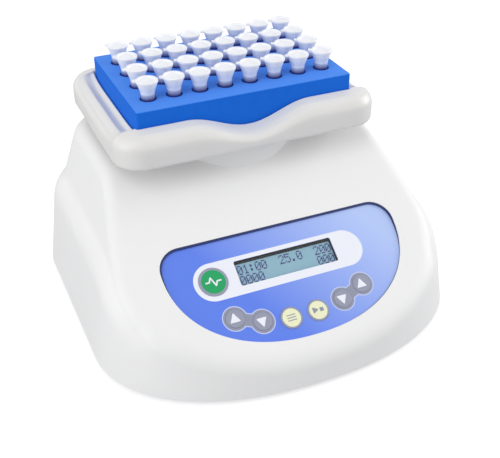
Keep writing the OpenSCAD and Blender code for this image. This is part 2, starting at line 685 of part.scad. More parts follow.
// Rings of the tray: [inset along X, inset along Y, corner radius, height, share of the rim's height, share of the
// groove that runs along the end rims]
module tray_shell(st) {
    rings = [[6.8, 6.8, 7.2, 0, 0, 0], [5.6, 5.6, 8.4, 0.5, 0, 0], [5, 5, 9, 1.6, 0, 0],
             [0.2, 0.2, 13.8, -4.6, 1, 0], [0, 0, tray_r, -3.6, 1, 0], [0.9, 0.9, 13.1, -1.7, 1, 0],
             [2.6, 2.6, 11.4, -0.5, 1, 0], [4.7, 4.4, 9.5, 0, 1, 0], [7.8, 7, 7, -0.1, 1, 1],
             [rim_x - 6.9, rim_y - 5.7, 5, -0.2, 1, 0], [rim_x - 1.2, rim_y - 1.2, 2.2, -1.1, 1, 0],
             [rim_x, rim_y, 1.2, -2.2, 1, 0], [rim_x, rim_y, 1.2, floor_t, 0, 0]];
    k = len(rings);
    m = len(st);
    points = concat([for (s = st) for (g = rings)
        let (p = tray_point(s, g[0], g[1], g[2]), o = tray_point(s, 0, 0, tray_r))
        [p[0], p[1], g[3] + g[4] * rim_height(o[0], o[1]) - g[5] * groove * end_share(o[0], o[1])]], [[0, 0, 0], [0, 0, floor_t]]);
    faces = concat(
        [for (i = [0:m - 1]) for (j = [0:k - 2])
            let (a = i * k + j, b = ((i + 1) % m) * k + j) [a, a + 1, b + 1]],
        [for (i = [0:m - 1]) for (j = [0:k - 2])
            let (a = i * k + j, b = ((i + 1) % m) * k + j) [a, b + 1, b]],
        [for (i = [0:m - 1]) [m * k, i * k, ((i + 1) % m) * k]],
        [for (i = [0:m - 1]) [m * k + 1, ((i + 1) % m) * k + k - 1, i * k + k - 1]]);
    polyhedron(points, faces, convexity = 6);
}

module platform_tray() {
    color("white") difference() {
        translate([0, plate_y, tray_z]) tray_shell(tray_path(24, 8, 4));
        translate([0, -ecc, 0]) at_drive() for (a = [0:60:300]) rotate(a)
            translate([hub_r - 5, 0, tray_z - 1]) cylinder(r = 1.5 + seat_gap, h = floor_t + 0.5);
    }
}

module tray_mat() {
    color("darkslategray") translate([0, plate_y, seat_z]) slab(plate_l - 8, plate_w - 8, 4, mat_t);
}

// Middle of tube i of row j, from the middle of the rack
function tube_at(i, j) = [(i - (tube_cols - 1) / 2) * pitch_x, (j - 1.5) * pitch_y];
module tube_rack() {
    color("royalblue") translate([0, plate_y, seat_z]) difference() {
        translate([-plate_l / 2, -plate_w / 2, 0]) cube([plate_l, plate_w, rack_h]);
        translate([0, 0, -1]) slab(plate_l - 7, plate_w - 7, 4.5, mat_t + 1.1);
        for (j = [0:3]) for (i = [0:tube_cols - 1])
            translate([tube_at(i, j)[0], tube_at(i, j)[1], rack_h - tube_in - seat_gap])
                cylinder(r = tube_r + 0.05, h = 30, $fn = 32);
    }
}

module tube() {
    rotate_extrude($fn = 32) polygon([[0, -tube_in], [1.2, -tube_in], [tube_r - 1, -5], [tube_r, -3],
        [tube_r, tube_up - 8], [cap_r - 0.6, tube_up - 1.8], [cap_r, tube_up - 1.8], [cap_r, tube_up],
        [tube_r + 0.4, tube_up], [tube_r + 0.1, tube_up - 3], [0, tube_up - 3]]);
    translate([-cap_r - 2.2, -1.6, tube_up - 1.4]) cube([3.2, 3.2, 1]);
}

module tube_row(j) {
    color("white", 0.8) translate([0, plate_y, rack_z]) for (i = [0:tube_cols - 1])
        translate([tube_at(i, j)[0], tube_at(i, j)[1], 0]) tube();
}

module tube_row_1() { tube_row(0); }
module tube_row_2() { tube_row(1); }
module tube_row_3() { tube_row(2); }
module tube_row_4() { tube_row(3); }

module key(i, shade) {
    k = keys[i];
    r = k[2];
    stem = switch_top_n + key_travel + stem_gap;
    color(shade) on_panel() translate([k[0], k[1], 0]) rotate_extrude()
        polygon([[0, stem], [1.7, stem], [r + key_flange, stem], [r + key_flange, flange_n], [r, flange_n],
                 [r, key_proud - 0.3], [r - 0.3, key_proud], [0, key_proud]]);
}

module pulse_key() { key(0, "seagreen"); }
module mode_key() { key(1, "lightyellow"); }
module run_key() { key(2, "lightyellow"); }
module time_up_key() { key(3, "gray"); }
module time_down_key() { key(4, "gray"); }
module speed_down_key() { key(5, "gray"); }
module speed_up_key() { key(6, "gray"); }

feet();
base_plate();
base_screws();
cover();
panel_label();
lcd_window();
lcd_bezel();
lcd_glass();
lcd_board();
lcd_spacers();
control_board();
key_switches();
board_screws();
drive_board();
drive_board_parts();
dc_inlet();
inlet_nut();
switch_body();
drive_chassis();
chassis_pillars();
chassis_screws();
motor_case();
speed_sensor();
main_bearings();
idler_bushes();
crank_shaft();
motor_rotor();
speed_disc();
counterweight();
idler_crank_1();
idler_crank_2();
idler_crank_3();
platform_hub();
hub_bearing();
hub_bushes();
hub_screws();
platform_tray();
tray_mat();
tube_rack();
tube_row_1();
tube_row_2();
tube_row_3();
tube_row_4();
pulse_key();
mode_key();
run_key();
time_up_key();
time_down_key();
speed_down_key();
speed_up_key();
power_rocker();
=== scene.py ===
import bpy
import numpy as np
from mathutils import Matrix, Vector


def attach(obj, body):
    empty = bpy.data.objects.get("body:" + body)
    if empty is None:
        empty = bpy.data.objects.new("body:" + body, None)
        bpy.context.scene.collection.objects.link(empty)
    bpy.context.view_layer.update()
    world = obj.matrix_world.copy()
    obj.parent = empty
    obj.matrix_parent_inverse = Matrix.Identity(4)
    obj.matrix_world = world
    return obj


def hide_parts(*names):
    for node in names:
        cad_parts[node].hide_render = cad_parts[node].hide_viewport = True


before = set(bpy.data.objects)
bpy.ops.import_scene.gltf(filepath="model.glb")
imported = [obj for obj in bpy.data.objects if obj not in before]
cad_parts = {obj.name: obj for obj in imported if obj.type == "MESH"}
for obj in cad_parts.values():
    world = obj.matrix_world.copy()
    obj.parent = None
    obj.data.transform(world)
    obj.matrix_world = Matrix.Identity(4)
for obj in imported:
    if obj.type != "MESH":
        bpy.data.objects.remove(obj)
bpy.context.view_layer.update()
print("frame loaded:", len(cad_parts), "nodes")

mm = 0.001
smoothPower = 2 / 2.2  # the front of the footprint and the foot of the label are superellipses of power 2.2

cover = {
    "halfWidth": 108.0, "frontY": -102.3, "rearY": 102.3,
    "bow": 70.3, "rearRadius": 36.0,  # depth of the curved front, radius of the rear corners
    "rearShare": 0.3, "cornerShare": 0.4,  # how much of the lean reaches the rear wall and the rear corners
    "rimZ": 3.0, "deckZ": 92.0, "wall": 3.0, "roof": 4.4,
    "shoulderZ": 60.5, "shoulderStep": 6.2, "shoulderRun": 16.0,
    "draft": 0.151, "hoodLean": 0.362,  # how far the wall leans in for each millimetre up, below and above the shoulder
    "sink": 27.0, "sinkFrom": -2.0, "sinkRun": 66.0, "sinkPower": 2.6,  # how the shoulder sinks to the front
    "stepFrom": -78.0, "stepRun": 40.0,  # where the step below the shoulder grows out of the front
    "edge": 7.0, "ridgeBlend": 2.2,  # rounding between wall and lid, and where the face meets the deck
    "columns": (64, 30, 18, 12), "rows": (10, 12, 8, 10, 26), "innerRows": (3, 4, 3, 4, 8),
}
panel = {"tilt": 33.4, "y": -45.0, "z": 54.5, "deep": 1.4, "film": 0.5, "halfWidth": 70.9, "up": 13.1, "down": 53.4,
         "centre": (0.55, 0.2)}
drive = {"y": 43.5, "throw": 1.5}
plate = (0.0, drive["y"] - drive["throw"])  # middle of the tray and rack, which rest with the crank to the front
slope = np.radians(panel["tilt"])
faceZ = panel["z"] + panel["deep"] / np.cos(slope)


# A sine or cosine raised to the superellipse's power
def softPow(v):
    return np.maximum(v, 0) ** smoothPower


# Footprint point at each station: superellipse front, straight side, round rear corner, straight rear.
# lean moves it in, the rear only in part, and inset moves it in evenly.
def outlineAt(kind, q, lean, inset):
    c = cover
    half = c["halfWidth"] - lean - inset
    r = c["rearRadius"] - c["cornerShare"] * lean - inset
    cy = c["rearY"] - c["rearShare"] * lean - inset - r
    bowY = c["frontY"] + c["bow"]
    a = np.radians(np.where((kind == 0) | (kind == 2), q, 0))
    zero = 0 * (q + lean)
    x = np.select([kind + zero == 0, kind + zero == 1, kind + zero == 2],
                  [half * softPow(np.sin(a)), half + zero, half - r + r * np.cos(a)], (half - r) * (1 - q))
    y = np.select([kind + zero == 0, kind + zero == 1, kind + zero == 2],
                  [bowY - (c["bow"] - lean - inset) * softPow(np.cos(a)), bowY + q * (cy - bowY), cy + r * np.sin(a)],
                  cy + r + zero)
    return x, y


# Height of the shoulder beside a base point: level along the sides, sinking towards the front corners
def shoulderAt(y):
    c = cover
    return c["shoulderZ"] - c["sink"] * np.minimum(1, np.maximum(0, c["sinkFrom"] - y) / c["sinkRun"]) ** c["sinkPower"]


# How far the side leans in at height z: straight draft, a rounded step below the shoulder, a steeper lean above
def leanAt(z, y):
    c = cover
    zs = shoulderAt(y)
    fade = np.clip((y - c["stepFrom"]) / c["stepRun"], 0, 1)
    s = np.clip((z - zs + c["shoulderRun"]) / c["shoulderRun"], 0, 1)
    return c["draft"] * (np.minimum(z, zs) - c["rimZ"]) + c["shoulderStep"] * fade * s ** 3 \
        + c["hoodLean"] * np.maximum(0, z - zs)


# Height of the lid: the lower of the sloping face and the deck, blended by a soft minimum
def lidAt(y):
    k = cover["ridgeBlend"]
    z1 = faceZ + (y - panel["y"]) * np.tan(slope)
    return np.minimum(z1, cover["deckZ"]) - k * np.log1p(np.exp(-np.abs(z1 - cover["deckZ"]) / k))


# Stations round half the footprint: kind 0 front, 1 side, 2 rear corner, 3 rear, each with its angle or share
def stationList(nFront, nSide, nCorner, nRear):
    kind = np.repeat([0, 1, 2, 3], [nFront, nSide, nCorner, nRear + 1])
    q = np.concatenate([90 * np.arange(nFront) / nFront, np.arange(nSide) / nSide,
                        90 * np.arange(nCorner) / nCorner, np.arange(nRear + 1) / nRear])
    return kind[:, None], q[:, None]


# Meridians of the hood as [station, level, xyz]: up the side, over the rounded edge as a quadratic curve, in over the
# lid. The crease, where the side would meet the lid, is found by halving.
def hoodGrid(inset, drop, zLow, rows):
    c = cover
    kind, q = stationList(*c["columns"])
    y0 = outlineAt(kind, q, 0, 0)[1]
    low, high = np.full_like(y0, zLow), np.full_like(y0, c["deckZ"])
    for _ in range(40):
        mid = (low + high) / 2
        under = mid < lidAt(outlineAt(kind, q, leanAt(mid, y0), inset)[1]) - drop
        low, high = np.where(under, mid, low), np.where(under, high, mid)
    crease = (low + high) / 2
    top = np.maximum(zLow + 1, crease - c["edge"])
    knee = np.minimum(shoulderAt(y0), top - 2)
    foot = np.minimum(knee - 6, shoulderAt(y0) - c["shoulderRun"])
    foot = np.maximum(foot, zLow + 0.3 * (knee - zLow))
    t = [np.arange(n) / n for n in rows[:3]]
    z = np.concatenate([zLow + (foot - zLow) * t[0], foot + (knee - foot) * t[1], knee + (top - knee) * t[2]], axis=1)
    x, y = outlineAt(kind, q, leanAt(z, y0), inset)
    side = np.stack([x, y, z], axis=-1)

    # Point of the wall on each meridian at a height
    def wallPoint(height):
        px, py = outlineAt(kind, q, leanAt(height, y0), inset)
        return np.stack([px, py, height + 0 * px], axis=-1)

    a, b = wallPoint(top), wallPoint(crease)
    px, py = outlineAt(kind, q, leanAt(crease, y0), inset + c["edge"])
    e = np.stack([px, py, lidAt(py) - drop], axis=-1)
    s = np.linspace(0, 1, rows[3] + 1)[None, :, None]
    edge = a * (1 - s) ** 2 + 2 * b * s * (1 - s) + e * s ** 2
    f = (1 - np.arange(1, rows[4]) / rows[4])[None, :]
    lx = e[:, :, 0] * f
    ly = drive["y"] + (e[:, :, 1] - drive["y"]) * f
    lid = np.stack([lx, ly, lidAt(ly) - drop], axis=-1)
    half = np.concatenate([side, edge, lid], axis=1)
    other = half[-2:0:-1] * np.array([-1, 1, 1])
    return np.concatenate([half, other])


# Faces of a grid that closes round its first axis, with optional poles before the first and after the last row
def wrapFaces(m, k, start=False, end=False, closed=False):
    i, j = np.meshgrid(np.arange(m), np.arange(k if closed else k - 1), indexing="ij")
    i2, j2 = (i + 1) % m, (j + 1) % k
    faces = np.stack([i * k + j, i2 * k + j, i2 * k + j2, i * k + j2], axis=-1).reshape(-1, 4).tolist()
    ring = np.arange(m)
    after = (ring + 1) % m
    if start:
        faces += np.stack([np.full(m, m * k), after * k, ring * k], axis=-1).tolist()
    if end:
        faces += np.stack([np.full(m, m * k + int(start)), ring * k + k - 1, after * k + k - 1], axis=-1).tolist()
    return faces


# A wrapped grid with its poles, as (points, faces)
def wrapShell(grid, poles=(None, None), closed=False):
    m, k = grid.shape[:2]
    tips = [p for p in poles if p is not None]
    points = np.concatenate([grid.reshape(-1, 3), np.array(tips, float).reshape(-1, 3)])
    return points, wrapFaces(m, k, poles[0] is not None, poles[1] is not None, closed)


# Surface of revolution about Z: profile rows are (radius, height), upwards outside and inwards at the top
def lathe(profile, around=64):
    p = np.array(profile, float)
    a = np.linspace(0, 2 * np.pi, around, endpoint=False)[:, None]
    inner = p[(1 if p[0, 0] == 0 else 0):(-1 if p[-1, 0] == 0 else None)]
    grid = np.stack([inner[:, 0] * np.cos(a), inner[:, 0] * np.sin(a), inner[:, 1] + 0 * a], axis=-1)
    poles = [(0, 0, p[0, 1]) if p[0, 0] == 0 else None, (0, 0, p[-1, 1]) if p[-1, 0] == 0 else None]
    return wrapShell(grid, poles, closed=poles[0] is None)


# Outward normals of a closed outline: across the line between each point's two neighbours
def outwardOf(line):
    ahead = np.roll(line, -1, axis=0) - np.roll(line, 1, axis=0)
    out = np.column_stack([ahead[:, 1], -ahead[:, 0]])
    return out / np.linalg.norm(out, axis=1)[:, None]


# Flat-topped solid over a closed outline, with its top edge rounded over by edge
def slabOf(line, low, high, edge=0.0, steps=3):
    line = np.array(line, float)
    centre = line.mean(axis=0)
    out = outwardOf(line)
    rings = [(0.0, low), (0.0, high - edge)]
    if edge:
        turn = np.linspace(0, np.pi / 2, steps + 1)[1:]
        rings += [(edge * (1 - np.cos(t)), high - edge + edge * np.sin(t)) for t in turn]
    grid = np.stack([np.column_stack([line - out * d, np.full(len(line), z)]) for d, z in rings], axis=1)
    return wrapShell(grid, [(*centre, low), (*centre, high)])


# Ring between two outlines with the same count of points
def ringOf(outer, inner, low, high):
    n = len(outer)
    grid = np.stack([np.column_stack([line, np.broadcast_to(z, n)]) for line, z in
                     ((inner, low), (outer, low), (outer, high), (inner, high))], axis=1)
    return wrapShell(grid, closed=True)


# Circle about a centre
def circleLine(radius, centre=(0, 0), count=64):
    a = np.linspace(0, 2 * np.pi, count, endpoint=False)
    return np.column_stack([centre[0] + radius * np.cos(a), centre[1] + radius * np.sin(a)])


# Rounded rectangle of w by h about a centre
def roundedLine(w, h, radius, centre=(0, 0), perCorner=10):
    a = np.radians(np.linspace(0, 90, perCorner + 1))
    corners = [(1, 1, 0), (-1, 1, 1), (-1, -1, 2), (1, -1, 3)]
    parts = [np.column_stack([sx * (w / 2 - radius) + radius * np.cos(a + k * np.pi / 2),
                              sy * (h / 2 - radius) + radius * np.sin(a + k * np.pi / 2)]) for sx, sy, k in corners]
    return np.concatenate(parts) + np.array(centre)


# Outline of the label, moved in by d: flat top with round corners over a full superellipse
def labelLine(d, count=72):
    r, w, b = panel["up"] - d, panel["halfWidth"] - d, panel["down"] - d
    a = np.radians(np.linspace(0, 90, 17))
    right = np.column_stack([w - r + r * np.cos(a), r * np.sin(a)])
    left = np.column_stack([r - w - r * np.sin(a), r * np.cos(a)])
    t = np.pi * np.arange(1, count) / count
    foot = np.column_stack([-w * np.sign(np.cos(t)) * softPow(np.abs(np.cos(t))), -b * softPow(np.sin(t))])
    return np.concatenate([right, left, foot]) + panel["centre"]


# From the panel's own axes (across, up the slope, out of the face) to the housing's
def onPanel(points):
    u, v, n = np.asarray(points, float).T
    return np.column_stack([u, panel["y"] + v * np.cos(slope) - n * np.sin(slope),
                            panel["z"] + v * np.sin(slope) + n * np.cos(slope)])


# A part moved by an offset
def shifted(part, offset):
    return part[0] + np.array(offset, float), part[1]


# Several closed shapes as one list of points and faces
def joined(parts):
    points, faces, count = [], [], 0
    for p, f in parts:
        points.append(p)
        faces += [[i + count for i in face] for face in f]
        count += len(p)
    return np.concatenate(points), faces


# Object at the origin whose place is in its mesh
def newObject(name, part):
    mesh = bpy.data.meshes.new(name)
    mesh.from_pydata((np.asarray(part[0]) * mm).tolist(), [], part[1])
    mesh.update()
    piece = bpy.data.objects.new(name, mesh)
    bpy.context.scene.collection.objects.link(piece)
    return piece


# Cuts closed shapes out of a piece
def cutAway(piece, parts):
    cutter = newObject("cutter", joined(parts))
    modifier = piece.modifiers.new("cut", "BOOLEAN")
    modifier.object = cutter
    modifier.solver = "EXACT"
    modifier.operation = "DIFFERENCE"
    graph = bpy.context.evaluated_depsgraph_get()
    mesh = bpy.data.meshes.new_from_object(piece.evaluated_get(graph))
    piece.modifiers.clear()
    piece.data = mesh
    bpy.data.objects.remove(cutter)


# Gives a piece its material, smooth faces with sharp edges over the angle, its body and the nodes it replaces
def dress(piece, material, body, stands=(), sharp=32):
    mesh = piece.data
    mesh.materials.clear()
    mesh.materials.append(material)
    mesh.shade_smooth()
    if sharp:
        mesh.set_sharp_from_angle(angle=np.radians(sharp))
    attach(piece, body)
    if stands:
        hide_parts(*stands)
    return piece


# sRGB hex to linear colour
def linear(hexColour, alpha=1.0):
    rgb = [int(hexColour[i:i + 2], 16) / 255 for i in (1, 3, 5)]
    return [c / 12.92 if c <= 0.04045 else ((c + 0.055) / 1.055) ** 2.4 for c in rgb] + [alpha]


# Adds a node with its settings; an input is a number, a colour or the socket that feeds it
def addNode(tree, kind, inputs=None, **settings):
    node = tree.nodes.new(kind)
    for key, value in settings.items():
        setattr(node, key, value)
    for key, value in (inputs or {}).items():
        if isinstance(value, bpy.types.NodeSocket):
            tree.links.new(value, node.inputs[key])
        else:
            node.inputs[key].default_value = value
    return node


# Moulded or printed finish: two close colours in soft patches, and a fine grain that drives roughness and relief.
# grain, bump and patch are in millimetres; fade is a second colour with a direction and its start and end along it,
# which the materials below use for painted highlight, reflection and shade.
def surface(name, colour, shade, rough, grain=0.5, bump=0.02, patch=25, roughSpread=0.06, stretch=(1, 1, 1), fade=(),
            **settings):
    material = bpy.data.materials.new(name)
    material.use_nodes = True
    tree = material.node_tree
    tree.nodes.clear()
    place = addNode(tree, "ShaderNodeTexCoord").outputs["Object"]
    drawn = addNode(tree, "ShaderNodeMapping", {"Vector": place, "Scale": stretch}).outputs["Vector"]
    patches = addNode(tree, "ShaderNodeTexNoise", {"Vector": place, "Scale": 1 / (patch * mm), "Detail": 3.0})
    fine = addNode(tree, "ShaderNodeTexNoise", {"Vector": drawn, "Scale": 1 / (grain * mm), "Detail": 2.0})
    tint = addNode(tree, "ShaderNodeMix", {0: patches.outputs["Fac"], 6: linear(colour), 7: linear(shade)},
                   data_type="RGBA")
    if fade:
        along = addNode(tree, "ShaderNodeVectorMath", {0: place, 1: fade[1]}, operation="DOT_PRODUCT").outputs["Value"]
        ramp = addNode(tree, "ShaderNodeMapRange", {"Value": along, "From Min": fade[2] * mm, "From Max": fade[3] * mm})
        tint = addNode(tree, "ShaderNodeMix", {0: ramp.outputs["Result"], 6: tint.outputs[2], 7: linear(fade[0])},
                       data_type="RGBA")
    roughness = addNode(tree, "ShaderNodeMapRange", {"Value": fine.outputs["Fac"], "To Min": rough - roughSpread,
                                                     "To Max": rough + roughSpread})
    relief = addNode(tree, "ShaderNodeBump", {"Height": fine.outputs["Fac"], "Strength": 1.0, "Distance": bump * mm})
    shader = addNode(tree, "ShaderNodeBsdfPrincipled",
                     {"Base Color": tint.outputs[2], "Roughness": roughness.outputs["Result"],
                      "Normal": relief.outputs["Normal"], **settings})
    addNode(tree, "ShaderNodeOutputMaterial", {"Surface": shader.outputs["BSDF"]})
    return material


materials = {
    # moulded ABS with a spark-eroded grain: an even matt white. The grain is drawn coarser than the real 0.2 mm to show
    "bodyAbs": surface("mouldedAbsGrained", "#F4F4F4", "#F1F1F1", 0.52, grain=0.9, bump=0.035, patch=40),
    # ABS from a polished tool: a little greyer, with a soft gloss
    "trayAbs": surface("mouldedAbsSmooth", "#E9E8E6", "#E6E5E3", 0.36, grain=1.6, bump=0.008, patch=40),
    # closed-cell polyethylene foam: saturated and matt with small pores; its paler top face is a painted highlight of
    # the light from above
    "foam": surface("closedCellFoam", "#1070E4", "#0C67DB", 0.72, grain=0.8, bump=0.09, patch=6, roughSpread=0.1,
                    fade=("#4F90F4", (0, 0, 1), 128.4, 128.95), **{"Specular IOR Level": 0.2}),
    # polypropylene, injection moulded: milky white
    "capPp": surface("mouldedPolypropyleneCap", "#FAFBFF", "#F3F6FE", 0.36, grain=1.2, bump=0.006, patch=4),
    # clear polypropylene: the dark navy at its foot, fading to white up the tube, is painted shade of the dark bore
    # that it stands in
    "tubePp": surface("mouldedPolypropyleneTube", "#41458F", "#3B3F88", 0.3, grain=1.2, bump=0.006, patch=4,
                      fade=("#E9EFFD", (0, 0, 1), 129.3, 133.0), **{"Transmission Weight": 0.15, "IOR": 1.3}),
    # polyester film, reverse printed blue; its paling to the upper right is a painted reflection under the satin face
    "film": surface("printedPolyesterFilm", "#5F84F0", "#5C81EE", 0.34, grain=0.7, bump=0.006, patch=30,
                    fade=("#B8CDFE", (1, 0.815, 0), -81, 21)),
    # inks under the same film: flat colours with its satin face
    # the navy edge is partly a printed border and partly painted shade of the recess wall round the label
    "filmNavy": surface("navyEdgePrintAndPaintedShade", "#1B2C6B", "#18285F", 0.4, grain=0.7, bump=0.004),
    "filmWhite": surface("printedWhite", "#F4F6FF", "#F0F3FE", 0.36, grain=0.7, bump=0.004),
    "filmLilac": surface("printedPaleEdge", "#C9D2F6", "#C4CEF4", 0.36, grain=0.7, bump=0.004),
    "filmGrey": surface("printedGrey", "#9498AD", "#8F93A8", 0.38, grain=0.7, bump=0.004),
    # domed polycarbonate keys: their rims catch a soft line of light
    "keyGrey": surface("domedPolycarbonateGrey", "#9A9EB2", "#9599AE", 0.34, grain=0.8, bump=0.004),
    "keyGreen": surface("domedPolycarbonateGreen", "#0AA561", "#07A05C", 0.34, grain=0.8, bump=0.004),
    "keyCream": surface("domedPolycarbonateCream", "#F3F5CF", "#EFF1C9", 0.34, grain=0.8, bump=0.004),
    # liquid crystal cell: grey blue and glossy, with navy dots
    "lcdCell": surface("liquidCrystalCell", "#8DB9CB", "#88B4C7", 0.25, grain=0.4, bump=0.001, patch=12),
    "lcdDot": surface("liquidCrystalDot", "#262B7C", "#222776", 0.3, grain=0.4, bump=0.001),
    # glass-filled ABS of the inlet, switch and small parts: near black with a dull sheen
    "blackAbs": surface("mouldedAbsBlack", "#1A1B1D", "#151617", 0.42, grain=0.6, bump=0.02),
    # matt black behind the window, near black with a purple tint as painted shade of the window's recess, so that the
    # display stands in a dark frame
    "bezelAbs": surface("mattBlackAbsAndPaintedShade", "#0C0A12", "#0A0910", 0.6, grain=0.6, bump=0.01,
                        **{"Specular IOR Level": 0.15}),
    # nitrile rubber, compression moulded: dark and dry
    "rubber": surface("mouldedNitrileRubber", "#1D1E20", "#232426", 0.68, grain=0.5, bump=0.03),
    "mat": surface("ribbedRubberSheet", "#26282B", "#2D2F33", 0.7, grain=1.0, bump=0.06),
    # zinc-plated steel, turned or rolled: bright and even
    "steel": surface("zincPlatedSteel", "#B9BBBE", "#AEB1B5", 0.32, grain=0.6, bump=0.004, **{"Metallic": 1.0}),
    # powder-coated sheet: dark grey with the coat's fine texture
    "sheetSteel": surface("powderCoatedSteel", "#4A4C4F", "#454749", 0.58, grain=0.6, bump=0.04),
    # die-cast zinc alloy: dull silver with a slightly rough skin
    "castAlloy": surface("dieCastAlloy", "#B4B6B9", "#A8ABAE", 0.46, grain=0.8, bump=0.03, **{"Metallic": 1.0}),
    # brass, turned: warm yellow with fine rings round the axis
    "brass": surface("turnedBrass", "#C8A35A", "#BC9850", 0.3, grain=0.3, bump=0.004, stretch=(1, 1, 14),
                     **{"Metallic": 1.0}),
    # stacked iron sheets: brown grey with close lines where the sheets meet
    "iron": surface("laminatedIron", "#5A524B", "#4D4640", 0.5, grain=0.5, bump=0.02, stretch=(1, 1, 10),
                    **{"Metallic": 1.0}),
    # solder resist on a circuit board: deep green and smooth
    "board": surface("solderResist", "#11562F", "#0F4E2A", 0.35, grain=1.4, bump=0.01, patch=6),
    # clear acrylic, cast: only its faint gloss is seen
    "clear": surface("clearAcrylic", "#F4FAFA", "#F0F7F7", 0.08, grain=3.0, bump=0.001, roughSpread=0.01,
                     **{"Alpha": 0.03}),
}
print("materials made:", len(materials))


# Place, direction and focal length, fitted to the rack's and the display's corners; metres and millimetres of lens
view = {"at": (-0.1733115, -0.4003190, 0.3251575), "forward": (0.33374914, 0.76687714, -0.54818949),
        "up": (0.22345667, 0.50059613, 0.83634310), "lens": 62.09}
right = Vector(view["forward"]).cross(Vector(view["up"]))
camera = bpy.data.objects.new("camera", bpy.data.cameras.new("camera"))
camera.data.lens = view["lens"]
camera.data.sensor_width = 36
camera.matrix_world = Matrix.Translation(view["at"]) @ Matrix(
    [right, Vector(view["up"]), -Vector(view["forward"])]).transposed().to_4x4()
bpy.context.scene.collection.objects.link(camera)
bpy.context.scene.camera = camera
bpy.context.scene.view_settings.view_transform = "Standard"

# The lamps stand low at both sides and higher at the front left; shares are of full brightness on a white face
studio = {"aim": (0, 0, 0.06), "ambient": 0.6, "floorGlow": 0.64, "floorShade": "#C4C5C8", "floorHalf": 9000,
          "lamps": {"overhead": {"at": (-1.0, -0.78, 1.66), "share": 0.2, "size": 1.2},
                    "left": {"at": (-1.85, -0.3, 0.66), "share": 0.25, "size": 1.2},
                    "right": {"at": (1.85, -0.2, 0.66), "share": 0.46, "size": 1.2}}}


# Round soft lamp that looks at the housing
def addLamp(name, place, power, size):
    lamp = bpy.data.objects.new(name, bpy.data.lights.new(name, "AREA"))
    lamp.data.shape = "DISK"
    lamp.data.size = size
    lamp.data.energy = power
    lamp.location = place
    lamp.rotation_euler = (Vector(studio["aim"]) - Vector(place)).to_track_quat("-Z", "Y").to_euler()
    bpy.context.scene.collection.objects.link(lamp)


# Power that gives a share of full brightness on a white face turned to the lamp: it grows by the distance squared
def lampPower(share, place):
    return share * np.pi ** 2 * (Vector(place) - Vector(studio["aim"])).length ** 2


for name, lamp in studio["lamps"].items():
    addLamp(name, lamp["at"], lampPower(lamp["share"], lamp["at"]), lamp["size"])

world = bpy.data.worlds.new("studio")
bpy.context.scene.world = world
world.use_nodes = True
world.node_tree.nodes.clear()
rays = addNode(world.node_tree, "ShaderNodeLightPath")
seen = addNode(world.node_tree, "ShaderNodeMath", {0: rays.outputs["Is Camera Ray"], 1: rays.outputs["Is Glossy Ray"]},
               operation="ADD", use_clamp=True)
seen = addNode(world.node_tree, "ShaderNodeMath", {0: seen.outputs[0], 1: rays.outputs["Is Transmission Ray"]},
               operation="ADD", use_clamp=True)
ambient = addNode(world.node_tree, "ShaderNodeBackground", {"Color": (1, 1, 1, 1), "Strength": studio["ambient"]})
backdrop = addNode(world.node_tree, "ShaderNodeBackground", {"Color": (1, 1, 1, 1), "Strength": 1.0})
sky = addNode(world.node_tree, "ShaderNodeMixShader",
              {0: seen.outputs[0], 1: ambient.outputs[0], 2: backdrop.outputs[0]})
addNode(world.node_tree, "ShaderNodeOutputWorld", {"Surface": sky.outputs[0]})

floorMaterial = bpy.data.materials.new("paleFloor")
floorMaterial.use_nodes = True
floorTree = floorMaterial.node_tree
floorTree.nodes.clear()
rays = addNode(floorTree, "ShaderNodeLightPath")
shown = addNode(floorTree, "ShaderNodeMath", {0: rays.outputs["Is Camera Ray"], 1: rays.outputs["Is Transmission Ray"]},
                operation="ADD", use_clamp=True)
strength = addNode(floorTree, "ShaderNodeMath", {0: shown.outputs[0], 1: studio["floorGlow"]}, operation="MULTIPLY")
glow = addNode(floorTree, "ShaderNodeEmission", {"Color": (1, 1, 1, 1), "Strength": strength.outputs[0]})
matt = addNode(floorTree, "ShaderNodeBsdfDiffuse", {"Color": linear(studio["floorShade"])})
both = addNode(floorTree, "ShaderNodeAddShader", {0: glow.outputs[0], 1: matt.outputs[0]})
addNode(floorTree, "ShaderNodeOutputMaterial", {"Surface": both.outputs[0]})
floor = newObject("floor", (np.array([(-1, -1, 0), (1, -1, 0), (1, 1, 0), (-1, 1, 0)]) * studio["floorHalf"],
                            [[0, 1, 2, 3]]))
floor.data.materials.append(floorMaterial)
print("camera, lights and floor set")


keyBoard = {
    "pulse_key": {"at": (-43.8, -10.0), "radius": 8.2}, "mode_key": {"at": (-9.4, -40.6), "radius": 6.2},
    "run_key": {"at": (6.6, -40.6), "radius": 6.2}, "time_up_key": {"at": (-39.4, -32.8), "radius": 5.1},
    "time_down_key": {"at": (-25.4, -38.2), "radius": 5.1}, "speed_down_key": {"at": (22.8, -38.2), "radius": 5.1},
    "speed_up_key": {"at": (36.8, -32.8), "radius": 5.1}, "gap": 0.25, "filmGap": 0.08, "proud": 0.45, "flange": 1.2}
display = {"v": -9.0, "width": 59.0, "height": 14.6, "corner": 1.0, "bed": 2.0, "bedTop": -1.0,
           "window": {"edge": 2.1, "low": -1.05, "high": -0.5, "corner": 1.3, "gap": 0.2, "seat": -1.1}}
keyNames = [k for k in keyBoard if k.endswith("_key")]


# A part on the panel's own axes, put in its place
def panelPart(part):
    return onPanel(part[0]), part[1]


# Round holes for all keys between two levels over the panel
def keyHoles(low, high, gap=keyBoard["gap"]):
    return [panelPart(slabOf(circleLine(keyBoard[k]["radius"] + gap, keyBoard[k]["at"], 56), low, high))
            for k in keyNames]


# Rounded hole for the display, wider by grow
def displayHole(low, high, grow=0.0, radius=display["corner"]):
    line = roundedLine(display["width"] + grow, display["height"] + grow, radius, (0, display["v"]), 5)
    return panelPart(slabOf(line, low, high))


